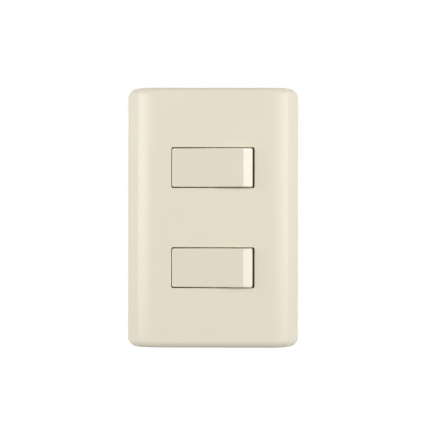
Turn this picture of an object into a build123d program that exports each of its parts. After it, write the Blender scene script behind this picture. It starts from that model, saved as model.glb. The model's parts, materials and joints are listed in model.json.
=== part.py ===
from build123d import *
from math import cos, radians, sin, tan
import os

# Double light switch: a snap-on cover plate with two rocker switch modules on a steel mounting strap.
# +X is to the right, +Y goes into the wall and +Z is up. The origin is on the wall plane, behind the
# middle of the cover plate. All sizes are in millimetres.

# Cover plate
plate_width = 76.2
plate_height = 115.2
plate_depth = 8.8
plate_wall = 2.0
plate_corner_radius = 4.5
plate_edge_radius = 3.5
rim_height = 2.4
facet_width = 5.0
crease_radius = 1.0
shoulder_width = 9.1
shoulder_drop = 1.8
window_length = 36.6
window_height = 17.9
window_corner_radius = 0.8
window_edge_radius = 0.3
hook_width = 6.0
hook_thickness = 1.5
hook_catch = 0.9
hook_slope = 0.7
hook_x = 15.5
hook_end_margin = 5.0
locating_rib_length = 9.0
locating_rib_thickness = 1.2
locating_rib_end_margin = 14.0
rib_back_gap = 0.6

# Mounting strap
strap_rail_width = 4.6
strap_end_margin = 5.6
strap_sheet = 1.2
strap_depth = 3.2
strap_corner_radius = 3.0
strap_bend_radius = 1.0
strap_key_width = 3.0
strap_key_depth = 0.8

# Positions of the switch modules on the strap: three places, of which the outer two are filled
module_pitch = 22.0
module_places = 3
module_rows = {"upper": 1, "lower": -1}

# Box screws and their captive washers
screw_spacing = 83.3
box_screw_radius = 1.75
box_neck_radius = 1.6
box_screw_length = 25.4
box_head_radius = 3.8
box_head_height = 2.4
screw_slot_length = 6.4
screw_slot_width = 4.0
captive_washer_side = 10.0
captive_washer_thickness = 0.8

# Running gaps
seat_gap = 0.05
sliding_gap = 0.1
loose_gap = 0.2
body_gap = 0.3

# Rocker, measured from its pivot while it stands level
tilt = 5.5
pivot_depth = 4.4
rocker_left_gap = 0.8
rocker_right_gap = 0.6
rocker_side_gap = 0.15
rocker_draft = 3.5
rocker_flush = 0.1
bevel_width = 3.8
bevel_drop = 2.9
skirt_drop = 1.0
rocker_wall = 1.5
rocker_corner_radius = 1.2
rocker_edge_radius = 0.45
trunnion_radius = 1.25
trunnion_ear_radius = 2.4
trunnion_bite = 0.7
barrel_radius = 2.7
barrel_bore_radius = 1.9
barrel_reach = 9.0
web_thickness = 1.1
web_drop = 0.6

# Spring and plunger inside the rocker's barrel
spring_wire_radius = 0.22
spring_mean_radius = 1.4
spring_length = 6.9
spring_turns = 6
plunger_reach = 14.0
plunger_tip_radius = 1.2
plunger_tip_length = 2.4

# Rocking contact
contact_swing = 7.9
contact_thickness = 0.8
contact_half_width = 3.0
contact_arm_inset = 1.0
contact_overhang = 2.0
contact_heel_inset = 1.2
contact_heel_length = 1.8
contact_cross_half_width = 4.9
contact_pivot_radius = 0.8
midway_gap = 0.1
rivet_radius = 1.5
rivet_height = 1.0
rivet_dome_radius = 4.0
rivet_shank_radius = 0.75
rivet_back_head_radius = 1.1
rivet_back_head_height = 0.3
fixed_rivet_radius = 1.7
fixed_rivet_height = 0.8

# Brass terminals, clamp plates and terminal screws
terminal_thickness = 1.0
terminal_half_width = 5.2
terminal_neck_half_width = 3.0
terminal_screw_inset = 5.3
cradle_half_length = 1.9
cradle_foot_half_length = 3.0
cradle_inner_half_width = 3.3
terminal_tongue_reach = 3.4
clamp_side = 8.0
clamp_thickness = 1.2
clamp_lip_height = 0.5
clamp_lip_width = 1.0
terminal_screw_radius = 1.7
terminal_screw_length = 6.2
terminal_head_radius = 3.3
terminal_head_height = 2.2
recess_slot_width = 1.0
recess_cross_length = 3.8
recess_depth = 1.1

# Switch module: the frame round the rocker and the housing behind it
frame_wall_above = 0.3
frame_back = 0.5
frame_bore_margin = 0.1
frame_end_wall = 1.8
frame_flange_width = 2.2
stop_ledge_length = 3.1
catch_width = 5.0
catch_height = 1.75
catch_bite = 1.0
arm_inset = 7.8
arm_width = 4.6
arm_thickness = 1.2
arm_reach = 6.0
arm_barb = 0.7
arm_foot_height = 1.4
housing_wall = 1.6
housing_inset = 0.4
housing_floor = 1.6
barrier_depth = 6.4
pocket_half_width = 4.6
pocket_length = 9.8
partition_thickness = 1.2
partition_height = 1.8
housing_edge_radius = 0.6
grip_rib_count = 4
grip_rib_pitch = 2.6
grip_rib_width = 0.9
grip_rib_height = 0.35

# Places worked out from the sizes above, as Y of planes parallel to the wall
plate_inner_y = plate_wall - plate_depth
frame_front_y = plate_inner_y + frame_wall_above
strap_front_y = -strap_depth
strap_back_y = strap_front_y + strap_sheet
pivot_y = -pivot_depth
module_height = module_pitch - housing_inset
frame_bore_half_length = window_length / 2 + frame_bore_margin
frame_bore_half_height = window_height / 2 + frame_bore_margin
frame_half_length = frame_bore_half_length + frame_end_wall
strap_opening_width = 2 * (frame_half_length + loose_gap)
strap_opening_height = module_places * module_pitch + 2 * loose_gap
strap_width = strap_opening_width + 2 * strap_rail_width
strap_height = plate_height - 2 * strap_end_margin
hook_z = strap_height / 2 - hook_end_margin
locating_rib_z = strap_height / 2 - locating_rib_end_margin
housing_half_length = frame_half_length - housing_inset
housing_half_height = module_height / 2 - loose_gap
chamber_half_length = housing_half_length - housing_wall
chamber_half_height = housing_half_height - housing_wall
arm_x = housing_half_length - arm_inset
pocket_inner_x = housing_half_length - pocket_length
terminal_screw_x = housing_half_length - terminal_screw_inset
terminal_tongue_inner_x = pocket_inner_x - terminal_tongue_reach
partition_x = (terminal_tongue_inner_x + cradle_foot_half_length) / 2
contact_arm = pocket_inner_x - contact_arm_inset
contact_heel = pocket_inner_x - contact_heel_inset
tilt_sin = sin(radians(tilt))
tilt_cos = cos(radians(tilt))
draft_slope = tan(radians(rocker_draft))
rocker_left = window_length / 2 - rocker_left_gap
rocker_right = window_length / 2 - rocker_right_gap
rocker_face = (plate_depth - pivot_depth + rocker_flush + rocker_left * tilt_sin) / tilt_cos
rocker_base_half_height = frame_bore_half_height - rocker_side_gap
rocker_face_height = 2 * (rocker_base_half_height - (rocker_face + skirt_drop) * draft_slope)
rocker_base_left = rocker_left + (rocker_face + skirt_drop) * draft_slope
rocker_base_right = rocker_right + (rocker_face - bevel_drop + skirt_drop) * draft_slope
face_length = rocker_left + rocker_right - bevel_width
face_radius = face_length / 2 / tilt_sin
face_sag = face_radius * (1 - tilt_cos)
stop_y = pivot_y + rocker_base_right * tilt_sin + skirt_drop * tilt_cos + sliding_gap
bore_top = rocker_face - face_sag - rocker_wall - rocker_edge_radius
plunger_top = bore_top - spring_length - 2 * seat_gap
contact_y = pivot_y + plunger_reach + midway_gap + contact_thickness
dome_centre = rivet_dome_radius - rivet_height
fixed_contact_y = (
    contact_y
    + contact_arm * sin(radians(contact_swing))
    - dome_centre * cos(radians(contact_swing))
    + rivet_dome_radius
    + seat_gap
)
terminal_front_y = fixed_contact_y + fixed_rivet_height
floor_y = terminal_front_y + terminal_thickness
clamp_back_y = floor_y + clamp_thickness
housing_floor_y = floor_y + housing_floor
housing_back_y = housing_floor_y + barrier_depth
heel_stop_y = contact_y + contact_heel * tan(radians(contact_swing)) + seat_gap


def facing(y):
    """The plane parallel to the wall at that Y, looking out of the wall."""
    return Plane.XZ.offset(-y)


def block(x, z, size_x, size_z, front_y, back_y, mode=Mode.ADD, corner=0.0):
    """A straight block between two planes parallel to the wall."""
    with BuildSketch(facing(back_y)) as outline:
        with Locations((x, z)):
            if corner:
                RectangleRounded(size_x, size_z, corner)
            else:
                Rectangle(size_x, size_z)
    extrude(outline.sketch, amount=back_y - front_y, mode=mode)


def disc(x, z, radius, front_y, back_y, mode=Mode.ADD):
    """A round boss or hole along Y between two planes parallel to the wall."""
    with BuildSketch(facing(back_y)) as outline:
        with Locations((x, z)):
            Circle(radius)
    extrude(outline.sketch, amount=back_y - front_y, mode=mode)


def wedge(plane, points, half_width, mode=Mode.ADD):
    """A prism with the given outline, as wide to each side of the plane."""
    with BuildSketch(plane) as outline:
        with BuildLine():
            Polyline(*points, close=True)
        make_face()
    extrude(outline.sketch, amount=half_width, both=True, mode=mode)


def drive_recess(x, z, head_radius, front_y, back_y):
    """The combined slot and cross that is cut in a screw's head."""
    block(x, z, 2 * head_radius, recess_slot_width, front_y, back_y, Mode.SUBTRACT)
    block(x, z, recess_slot_width, recess_cross_length, front_y, back_y, Mode.SUBTRACT)


def save(piece, name):
    """Labels a finished piece and writes it as a STEP file."""
    piece.part.label = name
    export_step(piece.part, f"parts/{name}.step")


def plate_section():
    """The level cut through the plate's outside: flat middle, two shoulders, two facets and the rims."""
    rim_x = plate_width / 2
    facet_top_x = rim_x - facet_width
    flat_x = facet_top_x - shoulder_width
    facet_top = (facet_top_x, shoulder_drop - plate_depth)
    with BuildSketch(Plane.XY.offset(-plate_height / 2)) as section:
        with BuildLine():
            Line((0, 0), (rim_x, 0))
            Line((rim_x, 0), (rim_x, -rim_height))
            Line((rim_x, -rim_height), facet_top)
            TangentArc((flat_x, -plate_depth), facet_top, tangent=(1, 0))
            Line((flat_x, -plate_depth), (0, -plate_depth))
            Line((0, -plate_depth), (0, 0))
        make_face()
        creases = section.vertices().filter_by(lambda v: abs(v.X - facet_top_x) < 0.01)
        fillet(creases, crease_radius)
        mirror(about=Plane.YZ)
    return section.sketch


def make_cover_plate():
    section = plate_section()
    with BuildPart() as cavity:
        with BuildSketch(Plane.XY.offset(-plate_height / 2)) as hollow:
            add(section)
            offset(amount=-plate_wall, kind=Kind.INTERSECTION)
            Rectangle(plate_width - 2 * plate_wall, 2 * rim_height)
        extrude(amount=plate_height)
        with BuildSketch(facing(rim_height)):
            inner_width = plate_width - 2 * plate_wall
            inner_height = plate_height - 2 * plate_wall
            RectangleRounded(inner_width, inner_height, plate_corner_radius - plate_wall)
        extrude(amount=plate_depth + rim_height, mode=Mode.INTERSECT)

    with BuildPart() as cover_plate:
        extrude(section, amount=plate_height)
        with BuildSketch(facing(0)):
            RectangleRounded(plate_width, plate_height, plate_corner_radius)
        extrude(amount=plate_depth + plate_wall, mode=Mode.INTERSECT)
        front_edges = cover_plate.faces().filter_by(lambda f: f.normal_at().Y < -0.3).edges()
        side_edges = cover_plate.faces().filter_by(lambda f: abs(f.normal_at().Y) < 0.01).edges()
        fillet(ShapeList([e for e in front_edges if e in side_edges]), plate_edge_radius)
        add(cavity.part, mode=Mode.SUBTRACT)
        for row in module_rows.values():
            block(
                0, row * module_pitch, window_length, window_height, -plate_depth, 0,
                Mode.SUBTRACT, window_corner_radius,
            )
        window_rims = cover_plate.faces().sort_by(Axis.Y)[0].inner_wires()
        fillet(window_rims.edges(), window_edge_radius)
        for side_x in (-1, 1):
            for side_z in (-1, 1):
                hook_outer_z = hook_z + hook_thickness / 2
                block(
                    side_x * hook_x, side_z * hook_z, hook_width, hook_thickness,
                    plate_inner_y - plate_wall / 2, -rib_back_gap,
                )
                catch_y = strap_back_y + seat_gap
                wedge(
                    Plane.YZ.offset(side_x * hook_x),
                    [
                        (catch_y, side_z * (hook_outer_z - hook_thickness / 2)),
                        (catch_y, side_z * (hook_outer_z + hook_catch)),
                        (catch_y + hook_slope / 2, side_z * (hook_outer_z + hook_catch)),
                        (-rib_back_gap, side_z * hook_outer_z),
                        (-rib_back_gap, side_z * (hook_outer_z - hook_thickness / 2)),
                    ],
                    hook_width / 2,
                )
                rib_x = strap_width / 2 + body_gap + locating_rib_thickness / 2
                block(
                    side_x * rib_x, side_z * locating_rib_z, locating_rib_thickness, locating_rib_length,
                    plate_inner_y - plate_wall / 2, -rib_back_gap,
                )
        for side_z in (-1, 1):
            rib_z = strap_height / 2 + body_gap + locating_rib_thickness / 2
            block(
                0, side_z * rib_z, locating_rib_length, locating_rib_thickness,
                plate_inner_y - plate_wall / 2, -rib_back_gap,
            )
    save(cover_plate, "cover_plate")


def make_mounting_strap():
    flange_height = strap_height - 2 * strap_corner_radius
    with BuildPart() as mounting_strap:
        block(0, 0, strap_width, strap_height, strap_front_y, strap_back_y, corner=strap_corner_radius)
        for side in (-1, 1):
            flange_x = side * (strap_width - strap_sheet) / 2
            block(flange_x, 0, strap_sheet, flange_height, strap_front_y, 0)
        front_uprights = mounting_strap.edges().filter_by(Axis.Z).group_by(Axis.Y)[0]
        bends = front_uprights.filter_by(lambda e: abs(e.center().X) > (strap_width - strap_sheet) / 2)
        fillet(bends, strap_bend_radius)
        block(0, 0, strap_opening_width, strap_opening_height, strap_front_y, 0, Mode.SUBTRACT, loose_gap)
        for side in (-1, 1):
            with BuildSketch(facing(0)) as slot:
                with Locations((0, side * screw_spacing / 2)):
                    SlotOverall(screw_slot_length, screw_slot_width)
            extrude(slot.sketch, amount=strap_depth, mode=Mode.SUBTRACT)
            slot_outer_z = hook_z + hook_thickness / 2 + sliding_gap
            slot_inner_z = hook_z - hook_thickness / 2 - hook_catch - sliding_gap
            for side_x in (-1, 1):
                block(
                    side_x * hook_x, side * (slot_outer_z + slot_inner_z) / 2, hook_width + 2 * body_gap,
                    slot_outer_z - slot_inner_z, strap_front_y, 0, Mode.SUBTRACT,
                )
        key_x = strap_opening_width / 2 + strap_key_depth / 2
        for place in range(module_places):
            key_z = (place - (module_places - 1) / 2) * module_pitch + module_pitch / 4
            for side in (-1, 1):
                block(
                    side * key_x, key_z, strap_key_depth, strap_key_width, strap_front_y, 0,
                    Mode.SUBTRACT,
                )
    save(mounting_strap, "mounting_strap")


def make_box_screws():
    """Two pan-head machine screws that hold the strap to a wall box, with a neck for the washers."""
    head_front_y = strap_front_y - box_head_height
    neck_end_y = strap_back_y + captive_washer_thickness + loose_gap
    with BuildPart() as box_screws:
        for side in (-1, 1):
            screw_z = side * screw_spacing / 2
            disc(0, screw_z, box_head_radius, head_front_y, strap_front_y)
            disc(0, screw_z, box_neck_radius, strap_front_y, neck_end_y)
            disc(0, screw_z, box_screw_radius, neck_end_y, strap_front_y + box_screw_length)
        head_edges = box_screws.faces().group_by(Axis.Y)[0].edges()
        fillet(head_edges, box_head_height / 2)
        recess_floor_y = head_front_y + recess_depth
        for side in (-1, 1):
            drive_recess(0, side * screw_spacing / 2, box_head_radius, head_front_y, recess_floor_y)
        tip_edges = box_screws.faces().group_by(Axis.Y)[-1].edges()
        chamfer(tip_edges, box_screw_radius / 3)
    save(box_screws, "box_screws")


def make_captive_washers():
    """Two square fibre washers that keep the box screws in the strap."""
    side_length = captive_washer_side
    back_y = strap_back_y + captive_washer_thickness
    with BuildPart() as captive_washers:
        for side in (-1, 1):
            washer_z = side * screw_spacing / 2
            block(
                0, washer_z, side_length, side_length, strap_back_y, back_y,
                corner=captive_washer_thickness,
            )
            disc(0, washer_z, box_neck_radius + seat_gap, strap_back_y, back_y, Mode.SUBTRACT)
    save(captive_washers, "captive_washers")


def rocker_level(z):
    """The plane through the rocker's pivot, seen from above: x along the rocker, y into the wall."""
    return Plane(origin=(0, pivot_y, z), x_dir=(tilt_cos, -tilt_sin, 0), z_dir=(0, 0, 1))


def rocker_outward(z, height):
    """The plane at that height in front of the rocker's pivot, looking out of the rocker's face."""
    level = Plane(origin=(0, pivot_y, z), x_dir=(tilt_cos, -tilt_sin, 0), z_dir=(-tilt_sin, -tilt_cos, 0))
    return level.offset(height)


def rocker_body(z, inset, corner):
    """The rocker's drafted body under its hollow face and finger bevel, or the space inside it."""
    face = rocker_face - inset
    left_x = inset - rocker_left
    bevel_x = rocker_right - bevel_width
    bevel_slope = bevel_drop / bevel_width
    low = skirt_drop + inset
    end_x = rocker_right + rocker_wall
    with BuildPart() as body:
        with BuildSketch(rocker_outward(z, -low)):
            with Locations(((rocker_base_right - rocker_base_left) / 2, 0)):
                base_length = rocker_base_left + rocker_base_right - 2 * inset
                RectangleRounded(base_length, 2 * (rocker_base_half_height - inset), corner)
        extrude(amount=low + rocker_face + 1, taper=rocker_draft)
        with BuildSketch(rocker_level(z)):
            with BuildLine():
                RadiusArc((left_x, -face), (bevel_x, -face), face_radius)
                Polyline(
                    (bevel_x, -face),
                    (end_x, -face + bevel_slope * (end_x - bevel_x)),
                    (end_x, low),
                    (left_x - rocker_wall, low),
                    (left_x - rocker_wall, -face),
                    (left_x, -face),
                )
            make_face()
        extrude(amount=module_pitch, both=True, mode=Mode.INTERSECT)
    return body.part


def make_rocker(name, z):
    level = rocker_level(z)
    hollow = rocker_body(z, rocker_wall, rocker_corner_radius / 2)
    with BuildPart() as rocker:
        add(rocker_body(z, 0.0, rocker_corner_radius))
        outward = level.y_dir * -1
        crown = rocker.faces().filter_by(lambda f: f.normal_at().dot(outward) > 0.7)
        flanks = rocker.faces().filter_by(lambda f: abs(f.normal_at().dot(outward)) < 0.3)
        ridge = [e for e in crown[0].edges() if e in crown[1].edges()]
        rim = [e for e in crown.edges() if e in flanks.edges()]
        fillet(ridge + rim, rocker_edge_radius)
        add(hollow, mode=Mode.SUBTRACT)
        ear_outer = rocker_face_height / 2 + rocker_face * tan(radians(rocker_draft))
        for side in (-1, 1):
            with BuildSketch(level.offset(side * (ear_outer - rocker_wall))) as ear:
                Circle(trunnion_ear_radius)
            extrude(ear.sketch, amount=side * rocker_wall)
            with BuildSketch(level.offset(side * (ear_outer - rocker_wall))) as trunnion:
                Circle(trunnion_radius)
            trunnion_end = module_height / 2 - trunnion_bite / 2
            extrude(trunnion.sketch, amount=side * (trunnion_end - ear_outer + rocker_wall))
        ceiling = rocker_face - face_sag - rocker_wall / 3
        with BuildSketch(rocker_outward(z, -barrel_reach)) as barrel:
            Circle(barrel_radius)
        extrude(barrel.sketch, amount=barrel_reach + ceiling)
        web_left = rocker_left - rocker_wall / 2
        web_right = rocker_right - bevel_width + rocker_wall / 2
        with BuildSketch(rocker_outward(z, web_drop)) as webs:
            with Locations(((web_right - web_left) / 2, 0)):
                Rectangle(web_left + web_right, web_thickness)
            Rectangle(web_thickness, rocker_face_height - rocker_wall)
        extrude(webs.sketch, amount=ceiling - web_drop)
        with BuildSketch(rocker_outward(z, -barrel_reach)) as bore:
            Circle(barrel_bore_radius)
        extrude(bore.sketch, amount=barrel_reach + bore_top, mode=Mode.SUBTRACT)
    save(rocker, f"{name}_rocker")


def make_rocker_spring(name, z):
    coil_height = spring_length - 2 * spring_wire_radius
    pitch = coil_height / spring_turns
    base = rocker_outward(z, plunger_top + seat_gap + spring_wire_radius)
    with BuildPart() as rocker_spring:
        with BuildLine() as coil:
            Helix(pitch, coil_height, spring_mean_radius, center=base.origin, direction=base.z_dir)
        with BuildSketch(Plane(origin=coil.line @ 0, z_dir=coil.line % 0)):
            Circle(spring_wire_radius)
        sweep(path=coil.line, is_frenet=True)
    save(rocker_spring, f"{name}_rocker_spring")


def make_plunger(name, z):
    guide_radius = barrel_bore_radius - sliding_gap
    guide_end = plunger_reach - plunger_tip_length
    with BuildPart() as plunger:
        with BuildSketch(rocker_level(z)):
            with BuildLine():
                Polyline(
                    (0, plunger_reach),
                    (0, -plunger_top),
                    (guide_radius, -plunger_top),
                    (guide_radius, guide_end),
                    (plunger_tip_radius, guide_end + (guide_radius - plunger_tip_radius)),
                    (plunger_tip_radius, plunger_reach - plunger_tip_radius),
                )
                dome_rim = (plunger_tip_radius, plunger_reach - plunger_tip_radius)
                RadiusArc(dome_rim, (0, plunger_reach), -plunger_tip_radius)
            make_face()
        revolve(axis=Axis(rocker_level(z).origin, rocker_level(z).y_dir))
    save(plunger, f"{name}_plunger")


def contact_level(z):
    """The plane through the rocking contact's pivot, from above: x along the strip, y into the wall."""
    turn = radians(contact_swing)
    return Plane(origin=(0, contact_y, z), x_dir=(cos(turn), sin(turn), 0), z_dir=(0, 0, 1))


def contact_outward(z):
    """The plane on the back of the rocking contact's strip, looking at the plunger."""
    turn = radians(contact_swing)
    along = (cos(turn), sin(turn), 0)
    return Plane(origin=(0, contact_y, z), x_dir=along, z_dir=(sin(turn), -cos(turn), 0))


def make_rocking_contact(name, z):
    toe = contact_arm + contact_overhang
    with BuildPart() as rocking_contact:
        with BuildSketch(contact_outward(z)) as strip:
            with Locations(((contact_heel - toe) / 2, 0)):
                RectangleRounded(contact_heel + toe, 2 * contact_half_width, contact_pivot_radius)
            with Locations((contact_heel - contact_heel_length / 2, 0)):
                Rectangle(contact_heel_length, 2 * contact_cross_half_width)
            Rectangle(2 * contact_pivot_radius, 2 * contact_cross_half_width)
            with Locations((-contact_arm, 0)):
                Circle(rivet_shank_radius, mode=Mode.SUBTRACT)
        extrude(strip.sketch, amount=contact_thickness)
        with BuildSketch(contact_level(z)) as bead:
            Circle(contact_pivot_radius)
        extrude(bead.sketch, amount=contact_cross_half_width, both=True)
    save(rocking_contact, f"{name}_rocking_contact")


def make_moving_rivet(name, z):
    """Silver rivet through the free end of the rocking contact, domed towards the fixed one."""
    level = contact_level(z)
    axis_x = -contact_arm
    dome_rim = (rivet_dome_radius**2 - rivet_radius**2) ** 0.5 - dome_centre
    with BuildPart() as moving_rivet:
        with BuildSketch(level) as half:
            with BuildLine():
                RadiusArc((axis_x, rivet_height), (axis_x + rivet_radius, dome_rim), -rivet_dome_radius)
                Polyline(
                    (axis_x + rivet_radius, dome_rim),
                    (axis_x + rivet_radius, 0),
                    (axis_x + rivet_shank_radius, 0),
                    (axis_x + rivet_shank_radius, -contact_thickness),
                    (axis_x + rivet_back_head_radius, -contact_thickness),
                    (axis_x + rivet_back_head_radius, -contact_thickness - rivet_back_head_height),
                    (axis_x, -contact_thickness - rivet_back_head_height),
                    (axis_x, rivet_height),
                )
            make_face()
        revolve(half.sketch, axis=Axis(level.from_local_coords(Vector(axis_x, 0, 0)), level.y_dir))
    save(moving_rivet, f"{name}_moving_rivet")


def make_fixed_rivet(name, z):
    with BuildPart() as fixed_rivet:
        disc(-contact_arm, z, fixed_rivet_radius, fixed_contact_y, terminal_front_y)
        disc(-contact_arm, z, rivet_shank_radius, terminal_front_y, floor_y)
        rim = fixed_rivet.faces().sort_by(Axis.Y)[0].edges()
        fillet(rim, fixed_rivet_height / 2)
    save(fixed_rivet, f"{name}_fixed_rivet")


def terminal_pad(side, z):
    """The wide end of a terminal, which covers its pocket and takes the clamp screw."""
    outer_x = chamber_half_length - loose_gap
    inner_x = pocket_inner_x - clamp_lip_width / 2
    block(
        side * (outer_x + inner_x) / 2, z, outer_x - inner_x, 2 * terminal_half_width,
        terminal_front_y, floor_y, corner=clamp_lip_width,
    )


def make_load_terminal(name, z):
    neck_outer_x = pocket_inner_x + clamp_lip_width
    hole_radius = terminal_screw_radius + seat_gap
    with BuildPart() as load_terminal:
        terminal_pad(-1, z)
        block(
            -(neck_outer_x + terminal_tongue_inner_x) / 2, z, neck_outer_x - terminal_tongue_inner_x,
            2 * terminal_neck_half_width, terminal_front_y, floor_y,
        )
        disc(-contact_arm, z, rivet_shank_radius, terminal_front_y, floor_y, Mode.SUBTRACT)
        disc(-terminal_screw_x, z, hole_radius, terminal_front_y, floor_y, Mode.SUBTRACT)
    save(load_terminal, f"{name}_load_terminal")


def make_common_terminal(name, z):
    """Brass strip whose ears are the cradle of the rocking contact and whose lugs stop its heel."""
    ear_outer = cradle_inner_half_width + terminal_thickness
    neck_outer_x = pocket_inner_x + clamp_lip_width
    lug_x = contact_heel - contact_heel_length / 2
    hole_radius = terminal_screw_radius + seat_gap
    with BuildPart() as common_terminal:
        terminal_pad(1, z)
        block(
            (neck_outer_x - cradle_foot_half_length) / 2, z, neck_outer_x + cradle_foot_half_length,
            2 * ear_outer, terminal_front_y, floor_y,
        )
        for side in (-1, 1):
            ear_z = z + side * (cradle_inner_half_width + terminal_thickness / 2)
            block(0, ear_z, 2 * cradle_half_length, terminal_thickness, contact_y, floor_y)
            block(lug_x, ear_z, contact_heel_length, terminal_thickness, heel_stop_y, floor_y)
        with BuildSketch(Plane.XY.offset(z)) as notch:
            with Locations((0, contact_y)):
                Circle(contact_pivot_radius + seat_gap)
        extrude(notch.sketch, amount=ear_outer, both=True, mode=Mode.SUBTRACT)
        disc(terminal_screw_x, z, hole_radius, terminal_front_y, floor_y, Mode.SUBTRACT)
    save(common_terminal, f"{name}_common_terminal")


def make_clamp_plate(name, z, side):
    """Square clamp plate whose two turned lips grip a wire against the terminal."""
    with BuildPart() as clamp_plate:
        block(side * terminal_screw_x, z, clamp_side, clamp_side, floor_y + clamp_lip_height, clamp_back_y)
        for edge in (-1, 1):
            lip_z = z + edge * (clamp_side - clamp_lip_width) / 2
            block(side * terminal_screw_x, lip_z, clamp_side, clamp_lip_width, floor_y, clamp_back_y)
        hole_radius = terminal_screw_radius + sliding_gap
        disc(side * terminal_screw_x, z, hole_radius, floor_y, clamp_back_y, Mode.SUBTRACT)
        corners = clamp_plate.edges().filter_by(Axis.Y).filter_by(GeomType.LINE)
        outer = corners.filter_by(lambda e: abs(e.center().Z - z) > (clamp_side - clamp_lip_width) / 2)
        fillet(outer, clamp_lip_width / 2)
    save(clamp_plate, name)


def make_terminal_screw(name, z, side):
    """Pan-head clamp screw with a combined slot and cross, seen from behind the module."""
    head_back_y = clamp_back_y + terminal_head_height
    screw_x = side * terminal_screw_x
    with BuildPart() as terminal_screw:
        disc(screw_x, z, terminal_head_radius, clamp_back_y, head_back_y)
        fillet(terminal_screw.faces().sort_by(Axis.Y)[-1].edges(), terminal_head_height / 2)
        disc(screw_x, z, terminal_screw_radius, clamp_back_y - terminal_screw_length, clamp_back_y)
        chamfer(terminal_screw.faces().sort_by(Axis.Y)[0].edges(), terminal_screw_radius / 4)
        drive_recess(screw_x, z, terminal_head_radius, head_back_y - recess_depth, head_back_y)
    save(terminal_screw, name)


def make_module_frame(name, z):
    """The ring round the rocker, with its bearings, stops, strap flanges, catches and snap arms."""
    flange_half_length = frame_half_length + frame_flange_width
    bore_length = 2 * frame_bore_half_length
    bore_height = 2 * frame_bore_half_height
    arm_outer = chamber_half_height - sliding_gap
    arm_end_y = frame_back + arm_reach
    with BuildPart() as module_frame:
        block(0, z, 2 * frame_half_length, module_height, frame_front_y, frame_back)
        block(0, z, 2 * flange_half_length, module_height, frame_front_y, strap_front_y)
        edges_into_wall = module_frame.edges().filter_by(Axis.Y)
        beyond_frame = frame_half_length + seat_gap
        flange_corners = edges_into_wall.filter_by(lambda e: abs(e.center().X) > beyond_frame)
        fillet(flange_corners, housing_edge_radius)
        block(0, z, bore_length, bore_height, frame_front_y, frame_back, Mode.SUBTRACT)
        with BuildSketch(Plane.XY.offset(z)) as bearing:
            with Locations((0, pivot_y)):
                Circle(trunnion_radius + seat_gap)
        extrude(bearing.sketch, amount=module_pitch / 2, both=True, mode=Mode.SUBTRACT)
        for side in (-1, 1):
            ledge_x = side * (frame_bore_half_length - stop_ledge_length / 2)
            block(ledge_x, z, stop_ledge_length, bore_height, stop_y, frame_back)
            wedge(
                Plane.XY.offset(z),
                [
                    (side * (frame_half_length - catch_bite / 2), strap_back_y + seat_gap),
                    (side * (frame_half_length + catch_bite), strap_back_y + seat_gap),
                    (side * (frame_half_length + catch_bite), strap_back_y + catch_height / 3),
                    (side * frame_half_length, strap_back_y + catch_height),
                    (side * (frame_half_length - catch_bite / 2), strap_back_y + catch_height),
                ],
                catch_width / 2,
            )
            for side_z in (-1, 1):
                arm_z = side_z * (arm_outer - arm_thickness / 2)
                foot_outer = frame_bore_half_height + frame_bore_margin
                foot_z = side_z * (foot_outer + arm_outer - arm_thickness) / 2
                foot_size = foot_outer - arm_outer + arm_thickness
                foot_front_y = frame_back - arm_foot_height
                block(side * arm_x, z + foot_z, arm_width, foot_size, foot_front_y, frame_back)
                block(side * arm_x, z + arm_z, arm_width, arm_thickness, frame_back, arm_end_y)
                barb_root = side_z * (arm_outer - arm_thickness / 2)
                barb_front_y = arm_end_y - arm_reach / 3
                wedge(
                    Plane.YZ.offset(side * arm_x),
                    [
                        (barb_front_y, z + barb_root),
                        (barb_front_y, z + side_z * (arm_outer + arm_barb)),
                        (barb_front_y + arm_barb, z + side_z * (arm_outer + arm_barb)),
                        (arm_end_y, z + side_z * arm_outer),
                        (arm_end_y, z + barb_root),
                    ],
                    arm_width / 2,
                )
    save(module_frame, f"{name}_module_frame")


def make_module_housing(name, z):
    """The open box behind the frame: contact chamber in front, two walled screw pockets behind."""
    barrier_outer = pocket_half_width + housing_wall
    barrier_inner_x = pocket_inner_x - housing_wall
    length = 2 * housing_half_length
    window_front_y = frame_back + arm_reach * 2 / 3 - loose_gap
    with BuildPart() as module_housing:
        block(0, z, length, 2 * housing_half_height, frame_back, housing_floor_y)
        for side in (-1, 1):
            barrier_x = side * (housing_half_length + barrier_inner_x) / 2
            barrier_length = housing_half_length - barrier_inner_x
            block(barrier_x, z, barrier_length, 2 * barrier_outer, housing_floor_y, housing_back_y)
        fillet(module_housing.edges().filter_by(Axis.Y), housing_edge_radius)
        block(0, z, 2 * chamber_half_length, 2 * chamber_half_height, frame_back, floor_y, Mode.SUBTRACT)
        for side in (-1, 1):
            pocket_x = side * (housing_half_length + pocket_inner_x) / 2
            block(
                pocket_x, z, pocket_length, 2 * pocket_half_width, floor_y, housing_back_y,
                Mode.SUBTRACT,
            )
            for side_z in (-1, 1):
                window_z = z + side_z * (housing_half_height - housing_wall / 2)
                block(
                    side * arm_x, window_z, arm_width + 2 * loose_gap, 2 * housing_wall,
                    window_front_y, window_front_y + arm_reach / 3 + 2 * loose_gap, Mode.SUBTRACT,
                )
        block(
            -partition_x, z, partition_thickness, 2 * chamber_half_height + housing_wall,
            floor_y - partition_height, floor_y,
        )
        for rib in range(grip_rib_count):
            rib_x = (rib - (grip_rib_count - 1) / 2) * grip_rib_pitch
            for side_z in (-1, 1):
                rib_z = z + side_z * (housing_half_height - grip_rib_height)
                block(
                    rib_x, rib_z, grip_rib_width, 2 * grip_rib_height,
                    frame_back + housing_wall, housing_floor_y - housing_wall,
                )
    save(module_housing, f"{name}_module_housing")


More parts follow.
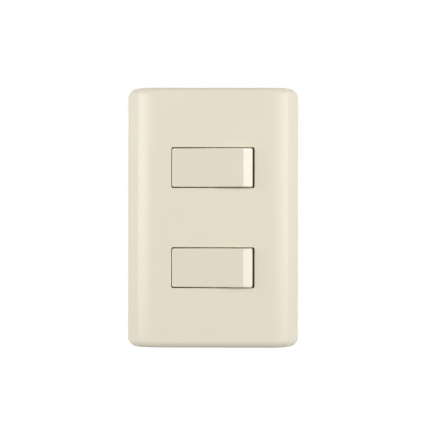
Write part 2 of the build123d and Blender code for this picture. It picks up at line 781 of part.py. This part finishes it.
os.makedirs("parts", exist_ok=True)
make_cover_plate()
make_mounting_strap()
make_box_screws()
make_captive_washers()
for row_name, row in module_rows.items():
    row_z = row * module_pitch
    make_rocker(row_name, row_z)
    make_rocker_spring(row_name, row_z)
    make_plunger(row_name, row_z)
    make_rocking_contact(row_name, row_z)
    make_moving_rivet(row_name, row_z)
    make_fixed_rivet(row_name, row_z)
    make_load_terminal(row_name, row_z)
    make_common_terminal(row_name, row_z)
    make_module_frame(row_name, row_z)
    make_module_housing(row_name, row_z)
    for terminal_name, terminal_side in {"load": -1, "common": 1}.items():
        make_clamp_plate(f"{row_name}_{terminal_name}_clamp_plate", row_z, terminal_side)
        make_terminal_screw(f"{row_name}_{terminal_name}_terminal_screw", row_z, terminal_side)
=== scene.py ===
# %% [markdown]
# # A double light switch
#
# This lesson dresses a light switch that was drawn in CAD: an ivory cover plate with two rockers, and
# behind it the steel strap, the switch modules and their brass parts. The CAD solids are loaded first
# and never moved. They already have the right shapes, so most of them only need a good material. The
# few that show more detail on the real thing, such as screw threads, are modelled again in their
# places. Blender counts in metres, so a length in millimetres is written as a number times MM.

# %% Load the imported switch
import bpy
import bmesh
import json
from math import cos, pi, radians, sin
from mathutils import Matrix, Vector


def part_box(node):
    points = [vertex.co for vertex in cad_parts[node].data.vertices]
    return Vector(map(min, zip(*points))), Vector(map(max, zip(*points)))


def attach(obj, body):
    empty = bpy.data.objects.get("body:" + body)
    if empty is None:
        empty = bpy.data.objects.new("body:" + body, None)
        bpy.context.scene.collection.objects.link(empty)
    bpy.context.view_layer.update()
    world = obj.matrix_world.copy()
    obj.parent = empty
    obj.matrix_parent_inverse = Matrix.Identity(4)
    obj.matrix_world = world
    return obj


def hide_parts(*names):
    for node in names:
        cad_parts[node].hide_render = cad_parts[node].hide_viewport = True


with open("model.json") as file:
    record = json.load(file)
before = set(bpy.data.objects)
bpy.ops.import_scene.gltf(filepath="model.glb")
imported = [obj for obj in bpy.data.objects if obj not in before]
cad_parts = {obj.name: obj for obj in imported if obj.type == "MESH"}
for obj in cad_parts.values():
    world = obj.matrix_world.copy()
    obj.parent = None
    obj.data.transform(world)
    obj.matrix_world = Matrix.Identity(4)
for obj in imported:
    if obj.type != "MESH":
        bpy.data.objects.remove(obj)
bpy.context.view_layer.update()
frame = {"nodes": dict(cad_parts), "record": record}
MM = 0.001
nodes = frame["nodes"]


# %% [markdown]
# ## Camera
#
# The plate was photographed from straight ahead with a long lens. Its two slopes look equally wide,
# so the camera stands within a degree of the middle, and it leans by less than a tenth of a degree.
# The distance is taken as 450 mm. A camera that far away needs a lens of 84 mm on a 36 mm sensor to
# show the plate at its size. The camera is moved along its own right and up directions so that the
# middle of the plate falls a little left of and below the picture's middle, as it does in the photo.

# %% Camera
PICTURE = 430  # pixels, across and down
SENSOR = 36  # mm
pixels_per_metre = 2232.0  # at the plate
origin_right, origin_down = -1.9, 2.65  # pixels from the picture's middle to the plate's middle
view_turn, view_lean = radians(-0.5), radians(0.08)
distance = 450 * MM
forward = Vector((sin(view_turn), cos(view_turn), 0))
level = Vector((cos(view_turn), -sin(view_turn), 0))
right = cos(view_lean) * level + sin(view_lean) * Vector((0, 0, 1))
up = right.cross(forward)

camera_data = bpy.data.cameras.new("camera")
camera_data.sensor_width = SENSOR
camera_data.lens = SENSOR * pixels_per_metre * distance / PICTURE
camera = bpy.data.objects.new("camera", camera_data)
bpy.context.scene.collection.objects.link(camera)
camera_place = (
    -distance * forward
    - right * (origin_right / pixels_per_metre)
    + up * (origin_down / pixels_per_metre)
)
camera_axes = Matrix((right, up, -forward)).transposed()
camera.matrix_world = Matrix.Translation(camera_place) @ camera_axes.to_4x4()
bpy.context.scene.camera = camera
bpy.context.scene.view_settings.view_transform = "Standard"
print("camera lens", round(camera_data.lens, 1), "mm at", [round(v, 4) for v in camera_place])


# %% [markdown]
# ## Light
#
# The photograph has plain, soft light from both sides, a little stronger from the right, and not much
# from above or below. The side light is what makes the sloping shoulders of the plate brighter than
# its flat middle, and the finger bevels of the rockers brightest of all, because a glossy plate
# mirrors the lamps there. So a wide soft lamp on each side is made of a few tall narrow area lamps,
# and the strength of each one sets how bright one slope of the plate becomes. Two more lamps stand
# behind, for whoever looks at the back. They are wide, because bare metal mirrors a small strong lamp
# as a burnt-out spot. The rest of the light comes from the world. It lights the object with a soft
# grey, but to the camera and in reflections it is plain white, so that the background is pure white
# without any more light on the switch. A Light Path node tells the two kinds of ray apart.

# %% Lamps
def add_lamp(name, turn, rise, away, size, watts):
    """An area lamp at a turn to the right of the camera and a rise above it, both in degrees."""
    data = bpy.data.lights.new(name, "AREA")
    data.shape = "RECTANGLE"
    data.size, data.size_y = size
    data.energy = watts
    lamp = bpy.data.objects.new(name, data)
    bpy.context.scene.collection.objects.link(lamp)
    turn, rise = radians(turn), radians(rise)
    place = away * Vector((sin(turn) * cos(rise), -cos(turn) * cos(rise), sin(rise)))
    lamp.location = place
    lamp.rotation_euler = (-place).to_track_quat("-Z", "Y").to_euler()


TALL, WIDE = (0.26, 0.7), (1.1, 1.1)  # metres across and up
side_lamps = {
    -80: 2.15, -66: 2.25, -42: 3.3, -30: 1.25,
    30: 0.85, 42: 1.9, 54: 1.0, 66: 4.4, 80: 1.2,
}  # watts at each turn, with the left side below zero
lamps_behind = {-160: 4.2, 160: 3.6}
for turn, watts in side_lamps.items():
    add_lamp(f"side_lamp_{turn}", turn, rise=10, away=1.1, size=TALL, watts=watts)
for turn, watts in lamps_behind.items():
    add_lamp(f"lamp_behind_{turn}", turn, rise=12, away=1.2, size=WIDE, watts=watts)


# %% Node helpers
def add_node(tree, kind, **settings):
    """Adds a node and sets what isn't a socket on it, such as a maths node's operation."""
    made = tree.nodes.new(kind)
    for name, value in settings.items():
        setattr(made, name, value)
    return made


def join(tree, *pairs):
    """Links the first socket of each pair to the second."""
    for source, target in pairs:
        tree.links.new(source, target)


def split_light(tree, lights, looks, out):
    """Lets one shader light the scene, while the camera, reflections and glass see another."""
    path = add_node(tree, "ShaderNodeLightPath")
    seen = add_node(tree, "ShaderNodeMath", operation="MAXIMUM")
    seen_or_glass = add_node(tree, "ShaderNodeMath", operation="MAXIMUM")
    choice = add_node(tree, "ShaderNodeMixShader")
    join(
        tree,
        (path.outputs["Is Camera Ray"], seen.inputs[0]),
        (path.outputs["Is Glossy Ray"], seen.inputs[1]),
        (seen.outputs[0], seen_or_glass.inputs[0]),
        (path.outputs["Is Transmission Ray"], seen_or_glass.inputs[1]),
        (seen_or_glass.outputs[0], choice.inputs["Fac"]),
        (lights.outputs[0], choice.inputs[1]),
        (looks.outputs[0], choice.inputs[2]),
        (choice.outputs[0], out.inputs["Surface"]),
    )


# %% World
world = bpy.data.worlds.new("studio")
bpy.context.scene.world = world
world.use_nodes = True
tree = world.node_tree
tree.nodes.clear()
soft = add_node(tree, "ShaderNodeBackground")
soft.inputs["Color"].default_value = (0.98, 0.99, 1.0, 1)
soft.inputs["Strength"].default_value = 0.2
white = add_node(tree, "ShaderNodeBackground")
white.inputs["Color"].default_value = (1, 1, 1, 1)
white.inputs["Strength"].default_value = 1.0
split_light(tree, soft, white, add_node(tree, "ShaderNodeOutputWorld"))
print("world light", soft.inputs["Strength"].default_value)


# %% [markdown]
# ## Floor
#
# The switch hangs free in the photograph, with no shadow in sight, so the floor lies well below it.
# It is a plain grey sheet that takes the light of the lamps. To the camera and in reflections it
# glows as well, which takes its lit part to pure white and still leaves a soft shadow under the
# switch.

# %% Floor
FLOOR_WIDTH, FLOOR_HEIGHT = 3.0, -0.22
bpy.ops.object.select_all(action="DESELECT")
bpy.ops.mesh.primitive_plane_add(size=FLOOR_WIDTH, location=(0, 0, FLOOR_HEIGHT))
floor = bpy.context.object
floor.name = "floor"
pale_floor = bpy.data.materials.new("pale_floor")
pale_floor.use_nodes = True
tree = pale_floor.node_tree
tree.nodes.clear()
paint = add_node(tree, "ShaderNodeBsdfDiffuse")
paint.inputs["Color"].default_value = (0.34, 0.34, 0.33, 1)
glow = add_node(tree, "ShaderNodeEmission")
glow.inputs["Strength"].default_value = 0.94
both = add_node(tree, "ShaderNodeAddShader")
join(tree, (paint.outputs[0], both.inputs[0]), (glow.outputs[0], both.inputs[1]))
split_light(tree, paint, both, add_node(tree, "ShaderNodeOutputMaterial"))
floor.data.materials.append(pale_floor)
print("floor at", round(floor.location.z, 3), "m")


# %% [markdown]
# ## Shared surface effects
#
# Moulded plastic, plated steel and brass all have small marks that break up their shine. Each kind of
# mark is made once, as a node group that any material can hold with its own values. The groups read
# the object's own coordinates, so the marks stay in place on every side of a piece.

# %% Group: mould grain
def socket(group, name, kind, direction, value=None):
    """Gives a node group an input or output, with the value that it has at first."""
    made = group.interface.new_socket(name=name, in_out=direction, socket_type=kind)
    if value is not None:
        made.default_value = value


# A fine ripple, and a slow change of tone, as a polished mould leaves on plastic.
mould_grain = bpy.data.node_groups.new("mould_grain", "ShaderNodeTree")
socket(mould_grain, "Vector", "NodeSocketVector", "INPUT")
socket(mould_grain, "Ripple", "NodeSocketFloat", "INPUT", 900.0)
socket(mould_grain, "Clouds", "NodeSocketFloat", "INPUT", 60.0)
socket(mould_grain, "Height", "NodeSocketFloat", "OUTPUT")
socket(mould_grain, "Tone", "NodeSocketFloat", "OUTPUT")
inside = add_node(mould_grain, "NodeGroupInput")
result = add_node(mould_grain, "NodeGroupOutput")
ripple = add_node(mould_grain, "ShaderNodeTexNoise")
ripple.inputs["Detail"].default_value = 3.0
clouds = add_node(mould_grain, "ShaderNodeTexNoise")
clouds.inputs["Detail"].default_value = 2.0
join(
    mould_grain,
    (inside.outputs["Vector"], ripple.inputs["Vector"]),
    (inside.outputs["Ripple"], ripple.inputs["Scale"]),
    (inside.outputs["Vector"], clouds.inputs["Vector"]),
    (inside.outputs["Clouds"], clouds.inputs["Scale"]),
    (ripple.outputs["Fac"], result.inputs["Height"]),
    (clouds.outputs["Fac"], result.inputs["Tone"]),
)
print("group", mould_grain.name)

# %% Group: drawn lines
# Long fine lines in one direction, as rolling and brushing leave on sheet metal, with paler and
# darker patches over them.
drawn_lines = bpy.data.node_groups.new("drawn_lines", "ShaderNodeTree")
socket(drawn_lines, "Vector", "NodeSocketVector", "INPUT")
socket(drawn_lines, "Stretch", "NodeSocketVector", "INPUT", (1.0, 1.0, 0.04))
socket(drawn_lines, "Lines", "NodeSocketFloat", "INPUT", 2500.0)
socket(drawn_lines, "Patches", "NodeSocketFloat", "INPUT", 160.0)
socket(drawn_lines, "Height", "NodeSocketFloat", "OUTPUT")
socket(drawn_lines, "Tone", "NodeSocketFloat", "OUTPUT")
inside = add_node(drawn_lines, "NodeGroupInput")
result = add_node(drawn_lines, "NodeGroupOutput")
stretch = add_node(drawn_lines, "ShaderNodeMapping")
lines = add_node(drawn_lines, "ShaderNodeTexNoise")
lines.inputs["Detail"].default_value = 2.0
patches = add_node(drawn_lines, "ShaderNodeTexNoise")
patches.inputs["Detail"].default_value = 5.0
patches.inputs["Roughness"].default_value = 0.62
join(
    drawn_lines,
    (inside.outputs["Vector"], stretch.inputs["Vector"]),
    (inside.outputs["Stretch"], stretch.inputs["Scale"]),
    (stretch.outputs["Vector"], lines.inputs["Vector"]),
    (inside.outputs["Lines"], lines.inputs["Scale"]),
    (inside.outputs["Vector"], patches.inputs["Vector"]),
    (inside.outputs["Patches"], patches.inputs["Scale"]),
    (lines.outputs["Fac"], result.inputs["Height"]),
    (patches.outputs["Fac"], result.inputs["Tone"]),
)
print("group", drawn_lines.name)


# %% [markdown]
# ## Materials
#
# Every material starts the same way: the object's coordinates go into one of the groups, the group's
# tone chooses between two near colours and two near roughnesses, and its height goes to a bump node.
# The helper below makes that start, and each finish then only says its own values. Values that are
# the same all over a surface, such as how metallic it is, are set straight on the shader.

# %% Material helper
finishes = {}


def make_finish(name, group, inputs, tones, roughnesses, bump, tone_range=(0.3, 0.7), **constants):
    """A material whose colour, roughness and relief follow one of the surface groups."""
    material = bpy.data.materials.new(f"{name}_finish")
    material.use_nodes = True
    tree = material.node_tree
    tree.nodes.clear()
    out = add_node(tree, "ShaderNodeOutputMaterial")
    shader = add_node(tree, "ShaderNodeBsdfPrincipled")
    place = add_node(tree, "ShaderNodeTexCoord")
    marks = add_node(tree, "ShaderNodeGroup", node_tree=group)
    for socket_name, value in inputs.items():
        marks.inputs[socket_name].default_value = value
    colour = add_node(tree, "ShaderNodeValToRGB")
    for stop, position, tone in zip(colour.color_ramp.elements, tone_range, tones):
        stop.position = position
        stop.color = (*tone, 1)
    dull = add_node(tree, "ShaderNodeMapRange")
    dull.inputs["From Min"].default_value, dull.inputs["From Max"].default_value = tone_range
    dull.inputs["To Min"].default_value, dull.inputs["To Max"].default_value = roughnesses
    relief = add_node(tree, "ShaderNodeBump")
    relief.inputs["Strength"].default_value, relief.inputs["Distance"].default_value = bump
    join(
        tree,
        (place.outputs["Object"], marks.inputs["Vector"]),
        (marks.outputs["Tone"], colour.inputs["Fac"]),
        (colour.outputs["Color"], shader.inputs["Base Color"]),
        (marks.outputs["Tone"], dull.inputs["Value"]),
        (dull.outputs["Result"], shader.inputs["Roughness"]),
        (marks.outputs["Height"], relief.inputs["Height"]),
        (relief.outputs["Normal"], shader.inputs["Normal"]),
        (shader.outputs["BSDF"], out.inputs["Surface"]),
    )
    for socket_name, value in constants.items():
        shader.inputs[socket_name].default_value = value
    finishes[name] = material


# %% Finishes of plastic and fibre
make_finish(
    "ivory_gloss", mould_grain, {"Ripple": 700.0, "Clouds": 30.0},
    tones=((0.770, 0.713, 0.580), (0.778, 0.720, 0.587)), roughnesses=(0.27, 0.30),
    bump=(0.10, 0.00002), tone_range=(0.1, 0.9),
)
# A darker copy of the plate's ivory: painted shade for the rockers.
make_finish(
    "rocker_ivory_painted_shade", mould_grain, {"Ripple": 700.0, "Clouds": 30.0},
    tones=((0.743, 0.687, 0.559), (0.750, 0.694, 0.566)), roughnesses=(0.27, 0.30),
    bump=(0.10, 0.00002), tone_range=(0.1, 0.9),
)
make_finish(
    "module_plastic", mould_grain, {"Ripple": 2600.0, "Clouds": 90.0},
    tones=((0.60, 0.555, 0.45), (0.66, 0.615, 0.505)), roughnesses=(0.52, 0.62),
    bump=(0.30, 0.00004),
)
make_finish(
    "plunger_plastic", mould_grain, {"Ripple": 1500.0, "Clouds": 200.0},
    tones=((0.78, 0.78, 0.74), (0.84, 0.84, 0.80)), roughnesses=(0.32, 0.42),
    bump=(0.15, 0.00003),
)
make_finish(
    "vulcanised_fibre", drawn_lines,
    {"Lines": 1600.0, "Patches": 900.0, "Stretch": (1.0, 1.0, 0.25)},
    tones=((0.19, 0.060, 0.032), (0.30, 0.110, 0.060)), roughnesses=(0.62, 0.78),
    bump=(0.5, 0.00006),
)
print("finishes:", sorted(finishes))

# %% Finishes of metal
make_finish(
    "zinc_plated_steel", drawn_lines,
    {"Lines": 3000.0, "Patches": 190.0, "Stretch": (1.0, 1.0, 0.05)},
    tones=((0.34, 0.355, 0.375), (0.52, 0.53, 0.53)), roughnesses=(0.26, 0.44),
    bump=(0.2, 0.00003), Metallic=1.0,
)
make_finish(
    "brass", drawn_lines,
    {"Lines": 3200.0, "Patches": 260.0, "Stretch": (0.06, 1.0, 1.0)},
    tones=((0.62, 0.43, 0.17), (0.82, 0.63, 0.32)), roughnesses=(0.24, 0.40),
    bump=(0.16, 0.00003), Metallic=1.0,
)
make_finish(
    "contact_silver", drawn_lines,
    {"Lines": 4000.0, "Patches": 600.0, "Stretch": (1.0, 1.0, 1.0)},
    tones=((0.74, 0.74, 0.72), (0.88, 0.88, 0.86)), roughnesses=(0.18, 0.32),
    bump=(0.12, 0.00002), Metallic=1.0,
)
make_finish(
    "spring_steel", drawn_lines,
    {"Lines": 5000.0, "Patches": 900.0, "Stretch": (1.0, 1.0, 1.0)},
    tones=((0.46, 0.47, 0.49), (0.60, 0.60, 0.61)), roughnesses=(0.24, 0.34),
    bump=(0.12, 0.00002), Metallic=1.0,
)
print("finishes:", sorted(finishes))

# %% Give every solid its finish
# The rockers are moulded apart from the plate. They get a darker copy of the plate's ivory as painted
# shade, which stands in for less light falling on their faces.
slot_of = {part["node"]: part["material_slot"] for part in frame["record"]["subparts"]}
for name, solid in nodes.items():
    for material_slot in solid.material_slots:
        finish_name = "rocker_ivory_painted_shade" if name.endswith("_rocker") else slot_of[name]
        material_slot.material = finishes[finish_name]
print("painted", len(slot_of), "solids")


# %% [markdown]
# ## Modelling by hand
#
# A few solids are drawn plainly in CAD and are modelled again here with the detail of the real thing.
# Each one is started from a primitive and shaped with the same tools as by hand. The helpers below
# stand for the clicks of a modeller: they select a piece or some of its faces or edges, apply its
# place, cut it with another piece, join pieces to one, and at last give it its body and finish.

# %% Helpers that select
def only(piece=None):
    """Deselects everything and then selects one piece, if one is given."""
    if bpy.context.object is not None and bpy.context.object.mode != "OBJECT":
        bpy.ops.object.mode_set(mode="OBJECT")
    bpy.ops.object.select_all(action="DESELECT")
    if piece is not None:
        piece.select_set(True)
        bpy.context.view_layer.objects.active = piece


def pick(piece, test, kind="FACE"):
    """Selects, in edit mode, the faces or edges whose corners pass a test."""
    only(piece)
    bpy.ops.object.mode_set(mode="EDIT")
    bpy.ops.mesh.select_mode(type=kind)
    bpy.ops.mesh.select_all(action="DESELECT")
    mesh = bmesh.from_edit_mesh(piece.data)
    for part in mesh.faces if kind == "FACE" else mesh.edges:
        part.select_set(all(test(corner.co) for corner in part.verts))
    bmesh.update_edit_mesh(piece.data)


# %% Helpers that shape
def apply_place(piece):
    """Moves a piece's place, turn and scale into its mesh."""
    only(piece)
    bpy.ops.object.transform_apply(location=True, rotation=True, scale=True)


def cut(piece, cutter):
    """Cuts one closed piece out of another and deletes the cutter."""
    only(piece)
    bite = piece.modifiers.new("bite", "BOOLEAN")
    bite.operation = "DIFFERENCE"
    bite.solver = "EXACT"
    bite.object = cutter
    bpy.ops.object.modifier_apply(modifier=bite.name)
    bpy.data.objects.remove(cutter)


def combine(name, parts):
    """Joins parts into the first one, turns every face outwards and shades the soft edges smooth."""
    only(parts[0])
    for part in parts:
        part.select_set(True)
    if len(parts) > 1:
        bpy.ops.object.join()
    piece = bpy.context.object
    piece.name = name
    bpy.ops.object.mode_set(mode="EDIT")
    bpy.ops.mesh.select_all(action="SELECT")
    bpy.ops.mesh.normals_make_consistent(inside=False)
    bpy.ops.object.mode_set(mode="OBJECT")
    bpy.ops.object.shade_smooth_by_angle(angle=radians(35))
    return piece


# %% Helper that finishes a piece
def dress(piece, slot_name, *stands_for):
    """Gives a finished piece its body and finish, and hides the solids that it stands for."""
    piece.data.materials.clear()
    piece.data.materials.append(finishes[slot_name])
    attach(piece, "switch_body")
    if stands_for:
        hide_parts(*stands_for)
    print(piece.name, len(piece.data.polygons), "faces")


# %% [markdown]
# ## Screws
#
# The real screws have rolled threads and a head with a slot and a short cross, for either driver. A
# thread is one triangle that climbs round the core, so it is made with a Screw modifier on a circle
# of three corners. The screw is modelled upright with its head on top, and laid down at the end.

# %% Screw head
SLOT_WIDTH, CROSS_LENGTH, RECESS_DEPTH = 1.0 * MM, 3.8 * MM, 1.1 * MM


def screw_head(radius, height):
    """A head with its top at zero and a rounded rim, with a slot right across and a short cross."""
    only()
    bpy.ops.mesh.primitive_cylinder_add(
        vertices=64, radius=radius, depth=height, location=(0, 0, -height / 2)
    )
    head = bpy.context.object
    apply_place(head)
    pick(head, lambda c: c.z > -height / 4, "EDGE")
    bpy.ops.mesh.bevel(offset=height * 0.45, segments=8, affect="EDGES")
    for size in ((2.2 * radius, SLOT_WIDTH), (SLOT_WIDTH, CROSS_LENGTH)):
        only()
        bpy.ops.mesh.primitive_cube_add(size=1)
        cutter = bpy.context.object
        cutter.scale = (*size, 2 * RECESS_DEPTH)
        apply_place(cutter)
        cut(head, cutter)
    return head


# %% Screw core and thread
def screw_core(radius, top, length, tip=0):
    """A plain shank that hangs from its top, with its lower edge bevelled by the tip."""
    only()
    bpy.ops.mesh.primitive_cylinder_add(
        vertices=40, radius=radius, depth=length, location=(0, 0, top - length / 2)
    )
    core = bpy.context.object
    apply_place(core)
    if tip:
        pick(core, lambda c: c.z < top - length / 2, "EDGE")
        bpy.ops.mesh.bevel(offset=tip, segments=2, affect="EDGES")
        bpy.ops.object.mode_set(mode="OBJECT")
    return core


def screw_thread(root, crest, pitch, top, turns):
    """A three-sided ridge that winds down from its top, with its foot sunk into the core."""
    sunk = 0.05 * MM
    depth = crest - root + sunk
    foot = 0.92 * pitch
    only()
    bpy.ops.mesh.primitive_circle_add(
        vertices=3, radius=1, fill_type="NOTHING", rotation=(pi / 2, pi / 2, 0),
        location=(crest - depth * 2 / 3, 0, top),
    )
    thread = bpy.context.object
    # A triangle of radius 1 is 3**0.5 wide and 1.5 tall.
    thread.scale = (foot / 3**0.5, depth / 1.5, 1)
    apply_place(thread)
    climb = thread.modifiers.new("climb", "SCREW")
    climb.axis = "Z"
    climb.screw_offset = -pitch
    climb.iterations = turns
    climb.steps = climb.render_steps = 20
    bpy.ops.object.modifier_apply(modifier=climb.name)
    bpy.ops.object.mode_set(mode="EDIT")
    bpy.ops.mesh.select_all(action="SELECT")
    bpy.ops.mesh.fill_holes(sides=3)
    bpy.ops.object.mode_set(mode="OBJECT")
    return thread


# %% Box screws
# They run from the strap through the fibre washers into the wall box. Under the head is a thinner
# neck, on which the washer turns and can't be lost.
box_low, box_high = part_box("box_screws")
head_radius, head_height = 3.8 * MM, 2.4 * MM
neck_radius, neck_length = 1.6 * MM, 2.2 * MM
core_radius, thread_radius, pitch = 1.38 * MM, 1.75 * MM, 0.79 * MM
tip, bare_end = 0.4 * MM, 0.8 * MM
shank_length = box_high.y - box_low.y - head_height
thread_top = -head_height - neck_length - pitch / 2
turns = int((shank_length - neck_length - bare_end) / pitch)
screws = []
for z in (box_high.z - head_radius, box_low.z + head_radius):
    head = screw_head(head_radius, head_height)
    core = screw_core(core_radius, -head_height, shank_length, tip)
    neck = screw_core(neck_radius, -head_height, neck_length)
    thread = screw_thread(core_radius, thread_radius, pitch, thread_top, turns)
    screw = combine("box_screw", [head, core, neck, thread])
    screw.rotation_euler = (pi / 2, 0, 0)
    screw.location = (0, box_low.y, z)
    apply_place(screw)
    screws.append(screw)
box_screw_pair = combine("box_screw_pair", screws)
dress(box_screw_pair, "zinc_plated_steel", "box_screws")

# %% Terminal screws
# The same screw, shorter and with its head to the back, holds each clamp plate. The slots of the
# lower switch's screws are turned by 28 degrees, because real screws don't all end up alike.
head_radius, head_height = 3.3 * MM, 2.2 * MM
core_radius, thread_radius, pitch = 1.33 * MM, 1.7 * MM, 0.7 * MM
tip, bare_end = 0.35 * MM, 0.9 * MM
thread_top = -2.75 * MM
for name in [n for n in nodes if n.endswith("_terminal_screw")]:
    low_corner, high_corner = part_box(name)
    middle = (low_corner + high_corner) / 2
    shank_length = high_corner.y - low_corner.y - head_height
    turns = int((shank_length - bare_end) / pitch)
    head = screw_head(head_radius, head_height)
    core = screw_core(core_radius, -head_height, shank_length, tip)
    thread = screw_thread(core_radius, thread_radius, pitch, thread_top, turns)
    screw = combine(name + "_threaded", [head, core, thread])
    slot_turn = 0 if name.startswith("upper") else radians(28)
    screw.rotation_euler = (-pi / 2, slot_turn, 0)
    screw.location = (middle.x, high_corner.y, middle.z)
    apply_place(screw)
    dress(screw, "zinc_plated_steel", name)


# %% [markdown]
# ## Clamp plates
#
# A clamp plate presses a stripped wire against its terminal, and small sharp ridges on its inner face
# bite into the wire. Two turned lips keep the wire from slipping out. The plate is a block with a
# channel and a hole cut out, and the ridges are three-sided bars laid across the channel.

# %% Clamp plates
edge_rounding, lip_width, channel_depth = 0.25 * MM, 1.0 * MM, 0.5 * MM
hole_radius, hole_cutter_length = 1.8 * MM, 4 * MM
ridge_radius, ridge_level = 0.3 * MM, 0.55 * MM
ridge_steps = (-3.4, -2.8, -2.2, 2.2, 2.8, 3.4)  # mm from the middle of the plate
for name in [n for n in nodes if n.endswith("_clamp_plate")]:
    low_corner, high_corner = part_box(name)
    middle = (low_corner + high_corner) / 2
    size = high_corner - low_corner
    channel_width = size.z - 2 * lip_width
    only()
    bpy.ops.mesh.primitive_cube_add(size=1, location=middle)
    plate = bpy.context.object
    plate.scale = size
    apply_place(plate)
    pick(plate, lambda c: c.y > middle.y, "EDGE")
    bpy.ops.mesh.bevel(offset=edge_rounding, segments=3, affect="EDGES")
    only()
    bpy.ops.mesh.primitive_cube_add(size=1, location=(middle.x, low_corner.y, middle.z))
    channel = bpy.context.object
    channel.scale = (1.2 * size.x, 2 * channel_depth, channel_width)
    apply_place(channel)
    cut(plate, channel)
    only()
    bpy.ops.mesh.primitive_cylinder_add(
        vertices=48, radius=hole_radius, depth=hole_cutter_length,
        location=middle, rotation=(pi / 2, 0, 0),
    )
    hole = bpy.context.object
    apply_place(hole)
    cut(plate, hole)
    parts = [plate]
    for step in ridge_steps:
        only()
        bpy.ops.mesh.primitive_cylinder_add(
            vertices=3, radius=ridge_radius, depth=channel_width, rotation=(0, 0, pi),
            location=(middle.x + step * MM, low_corner.y + ridge_level, middle.z),
        )
        ridge = bpy.context.object
        apply_place(ridge)
        parts.append(ridge)
    dress(combine(name + "_ridged", parts), "zinc_plated_steel", name)


# %% [markdown]
# ## Marks of the mould
#
# A moulded cover shows how it was made: on the inside are small gussets that stiffen its long sides,
# and the round marks of the pins that pushed it out of the mould. The gussets are flat blocks whose
# corners are pulled to the slope of the side, and the pin marks are shallow discs with a sunk middle.
# Both are placed by numbers in millimetres.

# %% Gussets
WEB = 1.0
web_outline = [(26.2, -6.75), (32.1, -5.45), (35.1, -2.6), (34.2, -2.3), (27.4, -4.4), (26.2, -4.4)]


def gusset(side, z):
    """A thin web between the inner face of the cover and its sloping side."""
    only()
    bpy.ops.mesh.primitive_circle_add(vertices=len(web_outline), radius=MM, fill_type="NGON")
    web = bpy.context.object
    for corner, (x, y) in zip(web.data.vertices, web_outline):
        corner.co = (side * x * MM, y * MM, (z - WEB / 2) * MM)
    pick(web, lambda c: True)
    bpy.ops.mesh.extrude_region_move(TRANSFORM_OT_translate={"value": (0, 0, WEB * MM)})
    bpy.ops.mesh.select_all(action="SELECT")
    bpy.ops.mesh.normals_make_consistent(inside=False)
    bpy.ops.object.mode_set(mode="OBJECT")
    return web


webs = [gusset(side, z) for side in (-1, 1) for z in (-38.0, -13.0, 13.0, 38.0)]
dress(combine("cover_gussets", webs), "ivory_gloss")


# %% Pin marks
def pin_mark(x, y, z, radius):
    """A round mark that stands a little proud towards the back, with a sunk middle."""
    thickness, ring_width, sunk = 0.3 * MM, 0.35 * MM, 0.1 * MM
    only()
    bpy.ops.mesh.primitive_cylinder_add(
        vertices=40, radius=radius * MM, depth=thickness,
        location=(x * MM, y * MM, z * MM), rotation=(pi / 2, 0, 0),
    )
    mark = bpy.context.object
    apply_place(mark)
    pick(mark, lambda c: c.y > y * MM)
    bpy.ops.mesh.inset(thickness=ring_width)
    bpy.ops.transform.translate(value=(0, -sunk, 0))
    bpy.ops.object.mode_set(mode="OBJECT")
    return mark


# A mark lies with its middle 0.05 mm past the face that it is on, so its foot is sunk into the face.
cover_mark_y = -6.75
cover_spots = [(x, cover_mark_y, z) for x in (-13.0, 13.0) for z in (-5.0, 5.0)]
cover_spots += [(x, cover_mark_y, z) for x in (-9.0, 9.0) for z in (-52.5, 52.5)]
cover_marks = [pin_mark(*spot, radius=2.0) for spot in cover_spots]
dress(combine("cover_pin_marks", cover_marks), "ivory_gloss")

# The housing's box reaches to the ends of its pocket walls, which stand 6.4 mm past its back.
pocket_wall_reach, module_pitch = 6.4, 22
housing_mark_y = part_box("upper_module_housing")[1].y / MM - pocket_wall_reach + 0.05
housing_spots = [(x, housing_mark_y, row * module_pitch) for row in (-1, 1) for x in (-4.5, 4.5)]
housing_marks = [pin_mark(*spot, radius=1.6) for spot in housing_spots]
dress(combine("housing_pin_marks", housing_marks), "module_plastic")
